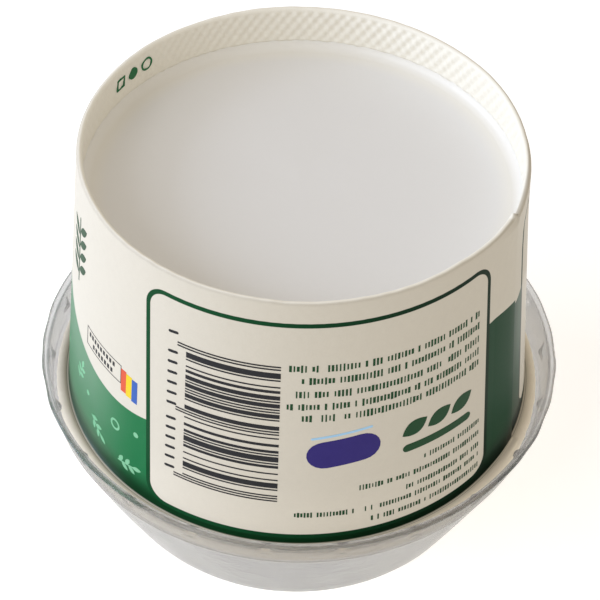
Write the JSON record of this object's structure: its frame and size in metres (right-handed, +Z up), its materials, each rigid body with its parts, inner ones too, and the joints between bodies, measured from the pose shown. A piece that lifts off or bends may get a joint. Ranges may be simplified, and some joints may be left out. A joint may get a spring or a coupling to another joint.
{
  "type": "paper ice-cream tub with clear lid, standing upside down",
  "caption": "Round conical paper food tub shut by a clear dome lid, standing upside down on the lid, with its recessed paper base on top.",
  "frame": {"origin": "centre of the lid's flat face, which the tub stands on", "axes": "+Z up along the tub's axis, from the lid to the recessed base; -Y is the front, with the printed information panel; the side seam is towards +X"},
  "size_m": [0.1006, 0.1006, 0.0828],
  "materials": {
    "printed_board": "satin coated board, cream with green print",
    "coated_board": "smooth coated board, cool white",
    "frozen_filling": "matte, cream white",
    "clear_plastic": "clear and glossy"
  },
  "bodies": {
    "root": {"cup_wall": "printed_board", "base_disc": "coated_board", "filling": "frozen_filling", "lid": "clear_plastic"}
  },
  "joints": []
}
